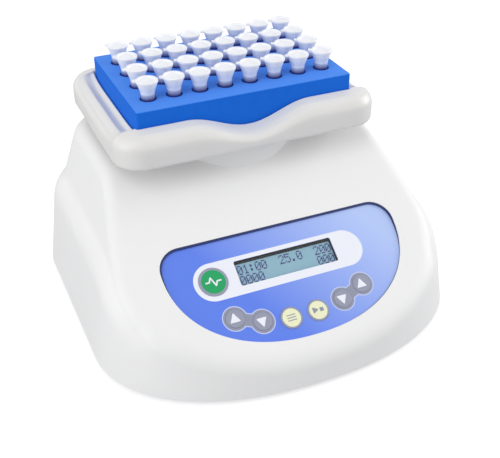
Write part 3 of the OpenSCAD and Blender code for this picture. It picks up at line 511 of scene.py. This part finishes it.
# Sunk plate at the rear, with holes for the power inlet and the switch
rearPad = {"x": (-68.0, -12.0), "z": (14.0, 40.0), "y": 95.5, "corner": 3.0, "plate": (92.0, 99.0), "overlap": (6, 12),
           "holes": (80, 99), "jack": (-52.0, 27.0), "jackRadius": 5.5, "switch": (-28.0, 27.0),
           "switchSize": (13.4, 19.4)}


# A prism along Y over an outline in X and Z, drawn as seen from behind
def rearPart(line, yLow, yHigh):
    points, faces = slabOf(line, yLow, yHigh)
    return np.column_stack([-points[:, 0], points[:, 2], points[:, 1]]), faces


# Ring round the drive's opening in the deck
collar = {"radius": 46.0, "hole": 43.5, "top": 98.5, "low": 76.0, "round": 1.6, "chamfer": 0.6}
outerGrid = hoodGrid(0, 0, cover["rimZ"], cover["rows"])
roofDrop = cover["roof"] / np.cos(slope)
innerGrid = hoodGrid(cover["wall"], roofDrop, cover["rimZ"], cover["innerRows"])
deckPole = (0, drive["y"], lidAt(np.array(drive["y"])))
shell = wrapShell(np.concatenate([innerGrid[:, ::-1], outerGrid], axis=1),
                  [(0, drive["y"], deckPole[2] - roofDrop), deckPole])
coverShell = newObject("coverShell", shell)
padSize = np.diff(rearPad["x"])[0], np.diff(rearPad["z"])[0]
padMiddle = -np.mean(rearPad["x"]), np.mean(rearPad["z"])
rearRecess = rearPart(roundedLine(*padSize, rearPad["corner"], padMiddle), rearPad["y"], 120)
driveHole = lathe([(0, 60), (collar["hole"], 60), (collar["hole"], 120), (0, 120)], 96)
cutAway(coverShell, [panelPart(slabOf(labelLine(0), -panel["film"], 12)), shifted(driveHole, (0, drive["y"], 0)),
                     rearRecess])
cutAway(coverShell, keyHoles(-6, 2) + [displayHole(-6, display["bedTop"], display["bed"])])
window = display["window"]
cutAway(coverShell, [displayHole(window["seat"], 2, 2 * (window["edge"] + window["gap"]), window["corner"])])
dress(coverShell, materials["bodyAbs"], "housing", ["cover"])
plateLine = roundedLine(padSize[0] + rearPad["overlap"][0], padSize[1] + rearPad["overlap"][1], 4, padMiddle)
rearPlate = newObject("rearPlate", rearPart(plateLine, *rearPad["plate"]))
jackLine = circleLine(rearPad["jackRadius"], (-rearPad["jack"][0], rearPad["jack"][1]))
switchLine = roundedLine(*rearPad["switchSize"], 0.5, (-rearPad["switch"][0], rearPad["switch"][1]))
cutAway(rearPlate, [rearRecess, rearPart(jackLine, *rearPad["holes"]), rearPart(switchLine, *rearPad["holes"])])
dress(rearPlate, materials["bodyAbs"], "housing")

turn = np.radians(np.linspace(0, 90, 7))
rounding = np.column_stack([collar["radius"] - collar["round"] * (1 - np.cos(turn)),
                            collar["top"] - collar["round"] * (1 - np.sin(turn))])
collarLine = [(collar["hole"], collar["low"]), (collar["radius"], collar["low"]), *rounding,
              (collar["hole"] + collar["chamfer"], collar["top"]), (collar["hole"], collar["top"] - collar["chamfer"])]
dress(newObject("collarRing", shifted(lathe(collarLine, 144), (0, drive["y"], 0))),
      materials["bodyAbs"], "housing")
print("cover made")


label = newObject("labelFilm", panelPart(slabOf(labelLine(0.3), -panel["film"] + 0.005, 0)))
cutAway(label, keyHoles(-3, 3, keyBoard["filmGap"]) + [displayHole(-3, 3)])
dress(label, materials["film"], "housing", ["panel_label"])

# The navy edge, partly print and partly painted shade of the recess wall, is thickest and highest at the label's top,
# where that shade falls, and thins out and sinks towards its foot
edging = {"top": 1.05, "foot": 0.16, "rise": 1.0, "from": -26.0, "run": 30.0}
outerLine = labelLine(0.06)
share = np.clip((outerLine[:, 1] - edging["from"]) / edging["run"], 0, 1) ** 1.5
innerLine = outerLine - outwardOf(outerLine) * (edging["foot"] + (edging["top"] - edging["foot"]) * share)[:, None]
rise = 0.02 + edging["rise"] * share
dress(newObject("labelEdge", panelPart(ringOf(outerLine, innerLine, np.full(len(share), -0.2), rise))),
      materials["filmNavy"], "housing")


# Prints lie a few hundredths of a millimetre proud of the film, each at its own level, so that their edges stay crisp
def printed(name, line, material, level=0.04):
    piece = newObject(name, panelPart(slabOf(line, -0.02, level)))
    cutAway(piece, keyHoles(-3, 3, keyBoard["filmGap"]) + [displayHole(-3, 3)])
    return dress(piece, material, "housing")


field = {"width": 101.3, "height": 21.9, "corner": 10.9, "at": (-4.15, -10.1)}
printed("displayField", roundedLine(field["width"], field["height"], field["corner"], field["at"], 20),
        materials["filmWhite"])


# Dog-bone outline round two keys: the larger of two circles and a waist as distances from the middle, blended by a
# ninth power
def boneLine(a, b, lobe, waist, count=160):
    a, b = np.array(a), np.array(b)
    middle, reach = (a + b) / 2, np.linalg.norm(b - a) / 2
    t = np.linspace(0, 2 * np.pi, count, endpoint=False)
    root = lobe ** 2 - (reach * np.sin(t)) ** 2
    circle = np.where(root > 0, reach * np.abs(np.cos(t)) + np.sqrt(np.maximum(root, 0)), 0)
    band = waist / np.maximum(np.abs(np.sin(t)), 0.2)
    radius = (circle ** 9 + band ** 9 * (np.abs(np.sin(t)) > 0.5)) ** (1 / 9)
    turn = np.arctan2(b[1] - a[1], b[0] - a[0])
    return middle + np.column_stack([radius * np.cos(t + turn), radius * np.sin(t + turn)])


bone = {"lobe": 6.5, "waist": 3.3, "edge": 0.6,
        "pairs": {"timeBone": ("time_up_key", "time_down_key"), "speedBone": ("speed_down_key", "speed_up_key")}}
for name, (first, second) in bone["pairs"].items():
    ends = keyBoard[first]["at"], keyBoard[second]["at"]
    printed(name + "Edge", boneLine(*ends, bone["lobe"] + bone["edge"], bone["waist"] + bone["edge"]),
            materials["filmLilac"], 0.03)
    printed(name, boneLine(*ends, bone["lobe"], bone["waist"]), materials["filmGrey"], 0.06)

# Dot letters of 5 by 7, a row of bits to each word
font = {"0": "01110 10001 10011 10101 11001 10001 01110", "1": "00100 01100 00100 00100 00100 00100 01110",
        "2": "01110 10001 00001 00010 00100 01000 11111", "5": "11111 10000 11110 00001 00001 10001 01110",
        ":": "00000 01100 01100 00000 01100 01100 00000", ".": "00000 00000 00000 00000 00000 01100 01100",
        " ": "00000 00000 00000 00000 00000 00000 00000"}
readout = {"rows": ("01:00  25.0  200", "0000         000"), "columnPitch": 3.6, "rowPitch": 6.1, "dot": 0.65,
           "gap": 0.01, "tall": 1.18, "left": 0.4, "up": 5.5}
# The frame shows wider above and to the left of the screen than below and to the right: painted shade where the
# window's recess shades the display
screen = {"n": -1.9, "back": -4.6, "top": 1.5, "left": 0.55, "right": 0.45, "foot": 0.2}
screenWide = display["width"] - screen["left"] - screen["right"]
screenTall = display["height"] - screen["top"] - screen["foot"]
screenMiddle = ((screen["left"] - screen["right"]) / 2, display["v"] + (screen["foot"] - screen["top"]) / 2)
bezel = ringOf(roundedLine(display["width"] + 1.4, display["height"] + 1.4, 1.2, (0, display["v"])),
               roundedLine(screenWide, screenTall, 0.8, screenMiddle), screen["back"], -1.5)
dress(newObject("displayBezel", panelPart(bezel)), materials["bezelAbs"], "housing", ["lcd_bezel"])
cellLine = roundedLine(screenWide - 0.1, screenTall - 0.1, 0.7, screenMiddle)
dress(newObject("displayCell", panelPart(slabOf(cellLine, screen["back"], screen["n"]))),
      materials["lcdCell"], "housing", ["lcd_glass"])
# Dots that are on, as row, letter, dot row and dot column, then their places on the panel
cells = np.array([[[[int(b) for b in line] for line in font[ch].split()] for ch in row] for row in readout["rows"]])
rowIndex, colIndex, dy, dx = np.nonzero(cells)
du = -screenWide / 2 + screenMiddle[0] + readout["left"] + colIndex * readout["columnPitch"] + dx * readout["dot"]
dv = screenMiddle[1] + readout["up"] - rowIndex * readout["rowPitch"] - dy * readout["dot"] * readout["tall"]
corner = np.array([(0, 0), (1, 0), (1, 1), (0, 1)]) * (readout["dot"] - readout["gap"])
dots = np.stack([du[:, None] + corner[:, 0], dv[:, None] - corner[::-1, 1] * readout["tall"],
                 np.full((len(du), 4), screen["n"] + 0.03)], axis=-1).reshape(-1, 3)
squares = np.arange(len(dots)).reshape(-1, 4)
dress(newObject("displayDots", (onPanel(dots), squares.tolist())), materials["lcdDot"], "housing", sharp=0)

keyLook = {"dome": 0.12, "rim": 0.18, "flangeLow": -4.15, "flangeHigh": -3.15, "arrow": 2.7,
           "faceLift": 0.03, "signLift": 0.06, "sunk": 0.05}
caps = {"pulse_key": ("keyGreen", 6.75, "key_green"), "mode_key": ("keyCream", 5.15, "key_cream"),
        "run_key": ("keyCream", 5.15, "key_cream")}


# Domed key: a straight wall, a rounded rim and a shallow spherical top
def keyPart(radius, at):
    proud, rim = keyBoard["proud"], keyLook["rim"]
    a = np.radians(np.linspace(0, 90, 6))
    edge = [(radius - rim + rim * np.cos(t), proud - keyLook["dome"] - rim + rim * np.sin(t)) for t in a]
    s = np.linspace(0, 1, 9)[1:]
    top = [((radius - rim) * (1 - t), proud - keyLook["dome"] * (1 - t) ** 2) for t in s]
    wide = radius + keyBoard["flange"]
    profile = [(0, keyLook["flangeLow"]), (wide, keyLook["flangeLow"]), (wide, keyLook["flangeHigh"]),
               (radius, keyLook["flangeHigh"])] + edge + top
    return panelPart(shifted(lathe(profile, 72), (*at, 0)))


# Height of a key's top over the panel: a parabola that falls by the dome from its middle to its rim
def topHeight(distance, radius):
    return keyBoard["proud"] - keyLook["dome"] * np.clip(distance / (radius - keyLook["rim"]), 0, 1) ** 2


# A thin print laid on a key's dome: the outline is filled from its middle in rings that follow the dome
def onKey(line, key, lift, rings=8):
    line = np.array(line, float)
    middle = line.mean(axis=0)
    f = np.linspace(1, 0, rings, endpoint=False)
    grid = middle + (line - middle)[:, None, :] * f[None, :, None]
    height = topHeight(np.linalg.norm(grid, axis=-1), key["radius"]) + lift
    low = height - lift - keyLook["sunk"]
    upper = np.concatenate([grid, height[..., None]], axis=-1)
    lower = np.concatenate([grid, low[..., None]], axis=-1)[:, ::-1]
    tip = topHeight(np.linalg.norm(middle), key["radius"])
    laid = wrapShell(np.concatenate([lower, upper], axis=1),
                     [(*middle, tip - keyLook["sunk"]), (*middle, tip + lift)])
    return panelPart(shifted(laid, (*key["at"], 0)))


# Rounded triangle that points up or down the panel: a short arc of radius corner at each tip
def arrowLine(size, up, corner=0.35):
    tips = np.array([(0, 1.0), (-0.9, -0.62), (0.9, -0.62)]) * size * (1 if up else -1)
    a = np.radians(np.linspace(-60, 60, 5))
    heading = np.arctan2(tips[:, 1], tips[:, 0])
    return np.concatenate([tip + corner * np.column_stack([np.cos(h + a) - 1, np.sin(h + a)])
                           for tip, h in zip(tips, heading)])


arrowUp = {"time_up_key": True, "time_down_key": False, "speed_down_key": False, "speed_up_key": True}
for name in keyNames:
    key = keyBoard[name]
    if name in arrowUp:
        look, slotName, ending = "filmWhite", "key_grey", "Arrow"
        line = arrowLine(keyLook["arrow"], arrowUp[name])
    else:
        look, radius, slotName = caps[name]
        line, ending = circleLine(radius, (0, 0), 72), "Face"
    dress(newObject(name + "Dome", keyPart(key["radius"], key["at"])), materials["keyGrey"], name, [name])
    dress(newObject(name + ending, onKey(line, key, keyLook["faceLift"])), materials[look], name)


# A closed band along a path on a key's top: four corner lines at half its width to each side, capped at both ends
def bandOnKey(path, half, key, steps=6):
    path = np.array(path, float)
    t = np.linspace(0, len(path) - 1, (len(path) - 1) * steps + 1)
    centre = np.column_stack([np.interp(t, np.arange(len(path)), path[:, k]) for k in (0, 1)])
    ahead = np.gradient(centre, axis=0)
    side = np.column_stack([-ahead[:, 1], ahead[:, 0]])
    side /= np.linalg.norm(side, axis=1)[:, None]
    corners = []
    low, high = -keyLook["sunk"], keyLook["signLift"]
    for across, level in ((-half, low), (half, low), (half, high), (-half, high)):
        p = centre + side * across
        corners.append(np.column_stack([p, topHeight(np.linalg.norm(p, axis=1), key["radius"]) + level]))
    grid = np.stack(corners)
    return panelPart(shifted(wrapShell(grid, [grid[:, 0].mean(axis=0), grid[:, -1].mean(axis=0)]), (*key["at"], 0)))


# A print on one of the round keys
def signPiece(name, parts, material, body):
    dress(newObject(name, joined(parts)), materials[material], body)


# Signs on the round keys: a pulse wave, three list bars, and run beside stop
signs = {"wave": [(-4.6, 0), (-2.4, 0), (-1.2, 2.6), (0.9, -2.6), (2.1, 0), (4.6, 0)], "waveHalf": 0.42,
         "bar": 2.6, "barHalf": 0.26, "bars": (1.5, 0, -1.5), "run": 1.5, "runAt": (-1.9, 0),
         "stop": 2.2, "stopAt": (2.0, 0)}
pulse, mode, run = (keyBoard[k] for k in ("pulse_key", "mode_key", "run_key"))
signPiece("pulseSign", [bandOnKey(signs["wave"], signs["waveHalf"], pulse)], "filmWhite", "pulse_key")
signPiece("modeSign", [bandOnKey([(-signs["bar"], v), (signs["bar"], v)], signs["barHalf"], mode)
                       for v in signs["bars"]], "filmGrey", "mode_key")
arrow = arrowLine(signs["run"], True)
arrow = np.column_stack([arrow[:, 1], -arrow[:, 0]]) + signs["runAt"]  # turned to point right
square = roundedLine(signs["stop"], signs["stop"], 0.2, signs["stopAt"])
signPiece("runSign", [onKey(line, run, keyLook["signLift"]) for line in (arrow, square)], "filmGrey", "run_key")
pane = displayHole(window["low"], window["high"], 2 * window["edge"], window["corner"])
dress(newObject("displayWindow", pane), materials["clear"], "housing", ["lcd_window"])
print("label, display and keys made")


tray = {"length": 157.4, "width": 112.8, "height": 17.5, "z": 101.0, "corner": 17.0, "rimX": 14.2, "rimY": 13.1,
        "floor": 3.0, "dip": 9.2, "dipHalf": 36.0, "sideDrop": 4.0, "groove": 1.5, "curveSteps": 5,
        "stations": (72, 40, 14)}  # along X, along Y and round a corner


# How far a rim point belongs to an end rim: one in its middle, zero at the corners and along the long sides
def endShare(x, y):
    t = tray
    ty = np.minimum(1, np.abs(y) / (t["width"] / 2 - t["corner"] + 2))
    return np.where(np.abs(x) > t["length"] / 2 - t["corner"], 1 - ty ** 6, 0)


# Height of the rim over the tray's underside: level corners, cosine dips at front and back, lower ends
def rimHeight(x, y):
    t = tray
    end = np.abs(x) > t["length"] / 2 - t["corner"]
    tx = np.clip(x / t["dipHalf"], -1, 1)
    return t["height"] - np.where(end, t["sideDrop"] * endShare(x, y), t["dip"] * (1 + np.cos(np.pi * tx)) / 2)


# Stations round a rounded rectangle: edge stations keep their share of the edge at every inset. kind 1 is a corner,
# with its quarter and angle, and kinds 0, 2, 3 and 4 are the right, rear, left and front edge.
def trayPath(nx, ny, nc):
    rows = []
    for quarter, (kind, n, start) in enumerate(((0, ny, -1), (2, nx, 1), (3, ny, 1), (4, nx, -1))):
        rows += [(kind, start - 2 * start * i / n, 0) for i in range(n)]
        rows += [(1, quarter, 90 * quarter + 90 * i / nc) for i in range(nc)]
    return np.array(rows, float)


# The path's points at an inset along X and Y, with corners of radius r
def trayPoints(path, dx, dy, r):
    hx, hy = tray["length"] / 2 - dx, tray["width"] / 2 - dy
    kind, q, a = path.T
    sx = np.where((q == 0) | (q == 3), 1, -1)
    sy = np.where(q < 2, 1, -1)
    turn = np.radians(a)
    x = np.select([kind == 0, kind == 2, kind == 3, kind == 4],
                  [hx, q * (hx - r), -hx, q * (hx - r)], sx * (hx - r) + r * np.cos(turn))
    y = np.select([kind == 0, kind == 2, kind == 3, kind == 4],
                  [q * (hy - r), hy, q * (hy - r), -hy], sy * (hy - r) + r * np.sin(turn))
    return x, y


# Catmull-Rom curve through the rows: each step blends four neighbours by the cubic's weights
def smoothRows(rows, steps):
    rows = np.array(rows, float)
    ends = np.concatenate([2 * rows[:1] - rows[1:2], rows, 2 * rows[-1:] - rows[-2:-1]])
    a, b, c, d = ends[:-3], ends[1:-2], ends[2:-1], ends[3:]
    t = (np.arange(steps) / steps)[:, None, None]
    curve = 0.5 * (2 * b + (c - a) * t + (2 * a - 5 * b + 4 * c - d) * t ** 2 + (3 * b - a - 3 * c + d) * t ** 3)
    return np.concatenate([curve.transpose(1, 0, 2).reshape(-1, rows.shape[1]), rows[-1:]])


# Section of the wall from below: inset along X and Y, corner radius, height, share of the rim's height and of the
# groove that runs along both ends
underEdge = [(2.6, 2.6, 14.4, 0, 0, 0), (1.4, 1.4, 15.6, 0.15, 0, 0), (0.6, 0.6, 16.4, 0.6, 0, 0),
             (0.2, 0.2, 16.8, 1.3, 0, 0)]
overRim = [(0.05, 0.05, 16.9, 2.2, 0, 0), (0.05, 0.05, 16.9, 1.57, 0.196, 0), (0.15, 0.15, 16.8, -0.27, 0.587, 0),
           (0.6, 0.6, 16.4, -0.72, 0.761, 0), (1.8, 1.8, 15.2, -0.6, 0.88, 0), (3.4, 3.3, 13.6, -0.3, 0.957, 0.4),
           (5.2, 5.0, 11.7, 0.1, 0.98, 0), (7.2, 6.8, 9.6, 0.45, 1, -0.2), (9.2, 8.6, 7.4, 0.8, 1, 0.6),
           (tray["rimX"] - 2.8, tray["rimY"] - 2.4, 4.2, 1.2, 1, 1.0),
           (tray["rimX"] - 0.8, tray["rimY"] - 0.8, 2.2, 1.5, 1, 0.2), (tray["rimX"], tray["rimY"], 1.2, 0.9, 1, 0)]
path = trayPath(*tray["stations"])
ox, oy = trayPoints(path, 0, 0, tray["corner"])
top, ends = rimHeight(ox, oy), endShare(ox, oy)
innerWall = (tray["rimX"], tray["rimY"], 1.2, tray["floor"], 0, 0)
columns = []
for dx, dy, r, z, share, groove in [*underEdge, *smoothRows(overRim, tray["curveSteps"]), innerWall]:
    px, py = trayPoints(path, dx, dy, r)
    columns.append(np.column_stack([px, py, z + share * top - groove * tray["groove"] * ends]))
trayPart = wrapShell(np.stack(columns, axis=1), [(0, 0, 0), (0, 0, tray["floor"])])
trayShell = newObject("trayShell", shifted(trayPart, (*plate, tray["z"])))
dress(trayShell, materials["trayAbs"], "platform", ["platform_tray"], sharp=40)
print("tray made")


rack = {"length": 127.76, "width": 85.48, "height": 25.0, "z": 104.0, "edge": 0.7, "columns": 8, "pitchX": 15.0,
        "pitchY": 18.45, "bore": 3.95, "mouth": 4.7, "deep": 16.2, "rows": 4, "corner": 1.2,
        "recess": 1.1, "margin": 3.5}  # the hollow below, and the wall round it
rackLine = roundedLine(rack["length"], rack["width"], rack["corner"], (0, 0), 5)
rackBlock = newObject("rackBlock", shifted(slabOf(rackLine, 0, rack["height"], rack["edge"], 4),
                                           (*plate, rack["z"])))
column, row = np.meshgrid(np.arange(rack["columns"]), np.arange(rack["rows"]), indexing="ij")
tubeX = (column - (rack["columns"] - 1) / 2) * rack["pitchX"]
tubeY = (row - (rack["rows"] - 1) / 2) * rack["pitchY"]
rackTop = rack["height"]
boreLow = rackTop - rack["deep"]
bore = lathe([(0, boreLow), (rack["bore"], boreLow), (rack["bore"], rackTop - 1.4), (rack["mouth"], rackTop - 0.3),
              (rack["mouth"] + 0.2, rackTop + 2), (0, rackTop + 2)], 32)
holes = [shifted(bore, (plate[0] + x, plate[1] + y, rack["z"])) for x, y in zip(tubeX.ravel(), tubeY.ravel())]
hollowLine = roundedLine(rack["length"] - 2 * rack["margin"], rack["width"] - 2 * rack["margin"], 4.5)
underside = shifted(slabOf(hollowLine, -1, rack["recess"]), (*plate, rack["z"]))
cutAway(rackBlock, holes + [underside])
dress(rackBlock, materials["foam"], "rack", ["tube_rack"])

# Profiles are (radius, height over the rack): the skirt swells to the cap by a smooth step
tube = {"radius": 3.85, "cap": 6.1, "up": 11.0, "down": 16.0, "straight": 3.4, "skirt": 5.9, "swell": 1.55,
        "tab": (3.4, 2.8), "turn": 158, "spread": 12, "wander": (2.4, 1.7)}  # tab size, mean angle, how it varies
skirt = [(tube["radius"] + 0.06 + tube["swell"] * (3 * t ** 2 - 2 * t ** 3), tube["straight"] + tube["skirt"] * t)
         for t in np.linspace(0, 1, 7)]
tubeLine = [(0, 0.1 - tube["down"]), (1.0, 0.1 - tube["down"]), (2.0, -12.5), (2.9, -5.0), (3.75, -3.0),
            (tube["radius"], -2.4), (tube["radius"], tube["straight"] + 1), (0, tube["straight"] + 1)]
rim = tube["cap"] - 0.1 * np.array([1, 0, 0, 2.5])
capLine = [(0, tube["straight"] - 0.2), (tube["radius"] - 0.3, tube["straight"] - 0.2), *skirt,
           (rim[0], 9.5), (rim[1], 9.8), (rim[2], 10.7), (rim[3], tube["up"]), (5.0, tube["up"]),
           (4.75, 10.85), (4.4, 10.2), (4.0, 10.1), (0, 10.3)]
tab = slabOf(roundedLine(*tube["tab"], 0.8, (tube["cap"], 0), 4), 9.8, 10.6, 0.2, 2)


# A tube's tab turned about its axis, each by its own share of the spread
def tabAt(column, row):
    byColumn, byRow = tube["wander"]
    a = np.radians(tube["turn"] + tube["spread"] * np.sin(byColumn * column + byRow * row))
    x, y, z = tab[0].T
    return np.column_stack([x * np.cos(a) - y * np.sin(a), x * np.sin(a) + y * np.cos(a), z]), tab[1]


for r in range(rack["rows"]):
    places = [(plate[0] + x, plate[1] + y, rack["z"] + rackTop) for x, y in zip(tubeX[:, r], tubeY[:, r])]
    bodies = joined([shifted(lathe(tubeLine, 40), p) for p in places])
    capsPart = joined([shifted(q, p) for i, p in enumerate(places) for q in (lathe(capLine, 40), tabAt(i, r))])
    dress(newObject(f"tubeBodies_{r + 1}", bodies), materials["tubePp"], "rack", [f"tube_row_{r + 1}"])
    dress(newObject(f"tubeCaps_{r + 1}", capsPart), materials["capPp"], "rack")
print("rack and tubes made")


# CAD nodes that keep their own shape, by the material they get
kept = {
    "rubber": ["feet"], "mat": ["tray_mat"], "sheetSteel": ["base_plate"],
    "steel": ["base_screws", "board_screws", "chassis_screws", "hub_screws", "chassis_pillars", "inlet_nut",
              "motor_case", "main_bearings", "hub_bearing", "crank_shaft", "idler_crank_1", "idler_crank_2",
              "idler_crank_3"],
    "castAlloy": ["drive_chassis", "platform_hub"], "board": ["lcd_board", "control_board", "drive_board"],
    "brass": ["lcd_spacers", "idler_bushes", "hub_bushes", "counterweight"], "iron": ["motor_rotor"],
    "blackAbs": ["key_switches", "drive_board_parts", "dc_inlet", "switch_body", "speed_sensor", "speed_disc",
                 "power_rocker"]}
for look, names in kept.items():
    for name in names:
        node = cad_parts[name]
        node.data.materials.clear()
        node.data.materials.append(materials[look])
